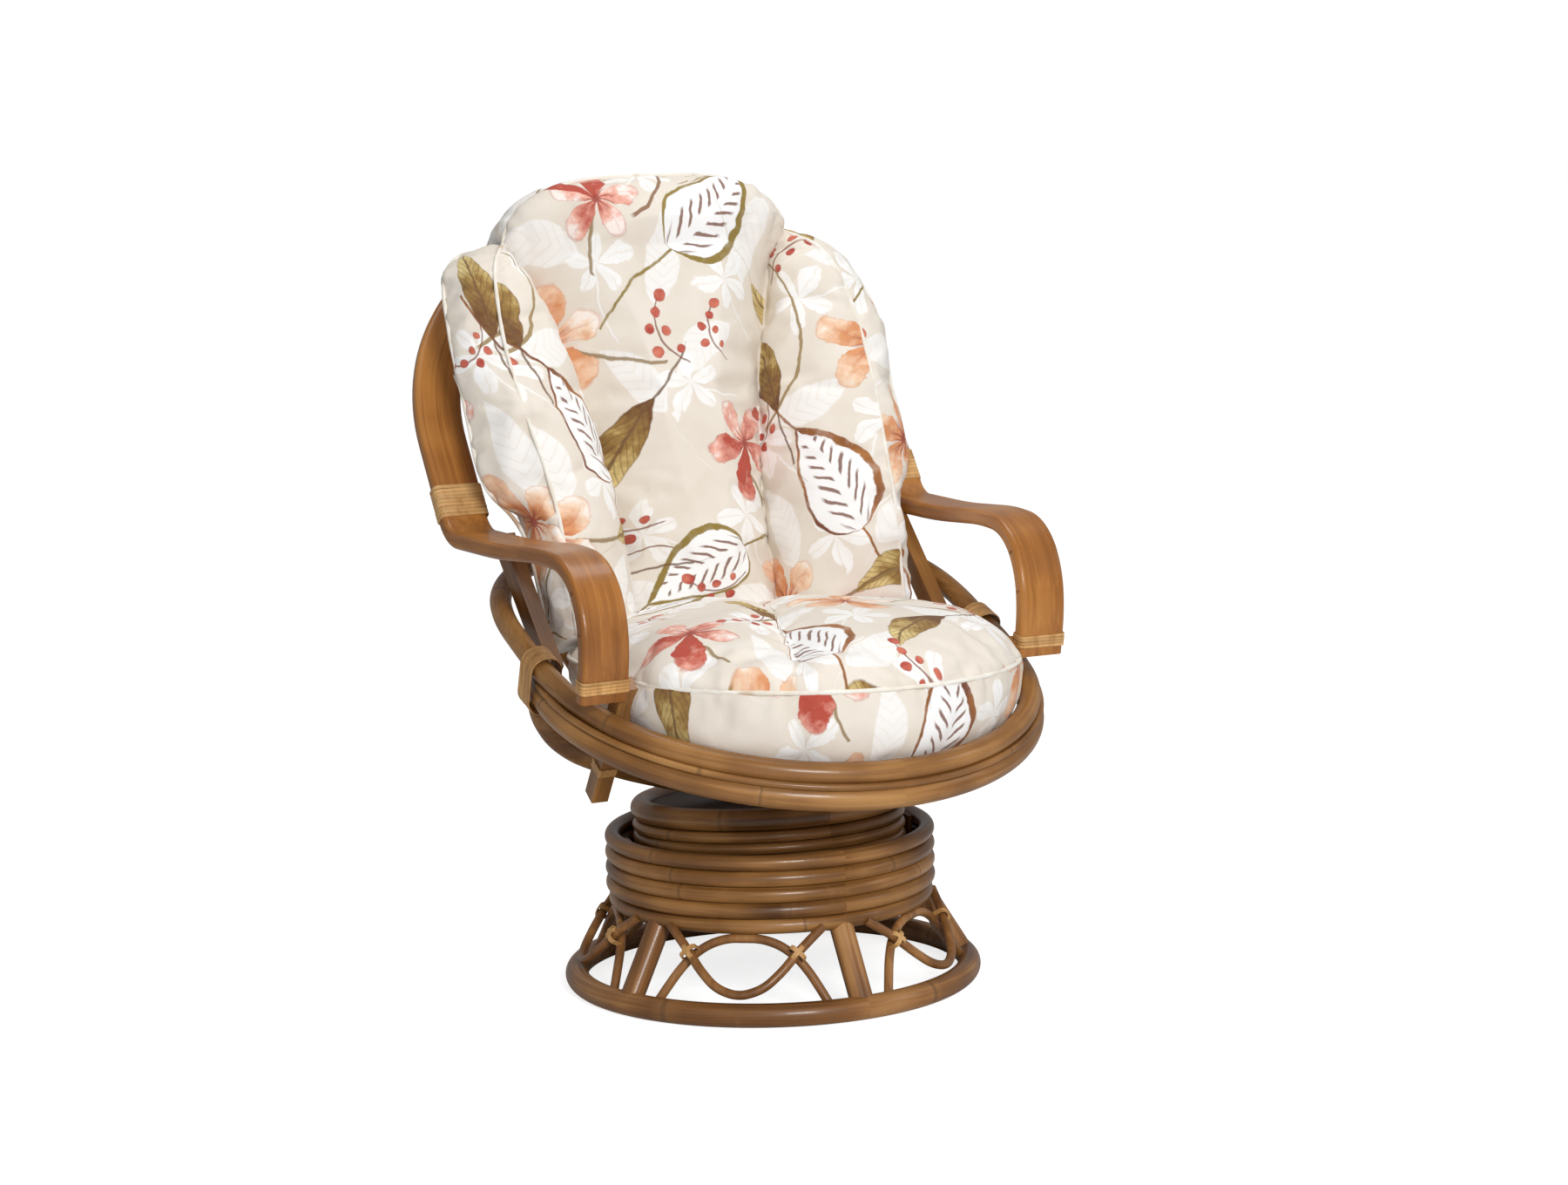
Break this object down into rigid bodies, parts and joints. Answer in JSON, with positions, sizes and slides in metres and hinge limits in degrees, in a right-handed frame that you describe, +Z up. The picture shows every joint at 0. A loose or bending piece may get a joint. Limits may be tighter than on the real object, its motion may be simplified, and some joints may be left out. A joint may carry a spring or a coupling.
{
  "type": "swivel rocking chair",
  "caption": "Rattan armchair on a round lattice base: the seat swivels on the base and rocks on a pivot inside two coiled drums, with loose piped cushions on seat and back.",
  "frame": {"origin": "on the floor, on the swivel axis, at the middle of the floor ring", "axes": "+Z up along the swivel axis, -Y towards the front of the chair, +X to the right of somebody facing the chair"},
  "size_m": [0.7068, 0.8496, 1.0369],
  "materials": {
    "bent_band": "satin",
    "binding_peel": "satin",
    "board": "matte",
    "cushion_fabric": "printed cotton",
    "dark_pole": "satin",
    "plate_steel": "satin",
    "rattan_pole": "satin",
    "rubber": "matte",
    "zinc_steel": "satin"
  },
  "bodies": {
    "base": {"base_board": "board", "base_board_bolts": "zinc_steel", "base_legs": "dark_pole", "base_ring": "dark_pole", "bearing_balls": "zinc_steel", "bearing_cage": "zinc_steel", "king_bolt": "zinc_steel", "lattice_bindings": "binding_peel", "lattice_canes_inner": "dark_pole", "lattice_canes_outer": "dark_pole", "outer_drum_coil_1": "dark_pole", "outer_drum_coil_2": "dark_pole", "outer_drum_coil_3": "dark_pole", "outer_drum_coil_4": "dark_pole", "outer_drum_coil_5": "dark_pole", "outer_drum_staves": "dark_pole", "swivel_plate_lower": "plate_steel"},
    "swivel": {"pivot_pin": "zinc_steel", "rocker_bracket_left": "plate_steel", "rocker_bracket_right": "plate_steel", "rocker_spring_front": "rubber", "rocker_spring_rear": "rubber", "swivel_plate_upper": "plate_steel"},
    "seat": {"arm_foot_binding_left": "binding_peel", "arm_foot_binding_right": "binding_peel", "arm_left": "bent_band", "arm_right": "bent_band", "arm_stub_left": "rattan_pole", "arm_stub_right": "rattan_pole", "back_cushion": "cushion_fabric", "back_hoop": "bent_band", "back_spindles": "rattan_pole", "hoop_binding_left": "binding_peel", "hoop_binding_right": "binding_peel", "inner_drum_coil_1": "dark_pole", "inner_drum_coil_2": "dark_pole", "inner_drum_coil_3": "dark_pole", "inner_drum_coil_4": "dark_pole", "inner_drum_staves": "dark_pole", "rear_post_left": "rattan_pole", "rear_post_right": "rattan_pole", "ring_binding_left": "binding_peel", "ring_binding_right": "binding_peel", "rocker_plate_upper": "plate_steel", "seat_board": "board", "seat_board_bolts": "zinc_steel", "seat_cushion": "cushion_fabric", "seat_deck_canes": "rattan_pole", "seat_ring_bottom_coil": "rattan_pole", "seat_ring_thin_coil": "rattan_pole", "seat_ring_top_hoop": "rattan_pole", "stub_lashing_left": "binding_peel", "stub_lashing_right": "binding_peel", "under_seat_cradle": "dark_pole", "under_seat_rail": "dark_pole"}
  },
  "joints": [
    {"name": "swivel", "type": "hinge", "parent": "base", "child": "swivel", "pos_m": [0, 0, 0.13], "axis": [0, 0, 1], "continuous": true},
    {"name": "rock", "type": "hinge", "parent": "swivel", "child": "seat", "pos_m": [0, 0, 0.185], "axis": [1, 0, 0], "range_deg": [-10, 10], "stiffness_Nm_per_rad": 450, "deforming": ["rocker_spring_front", "rocker_spring_rear"]}
  ]
}
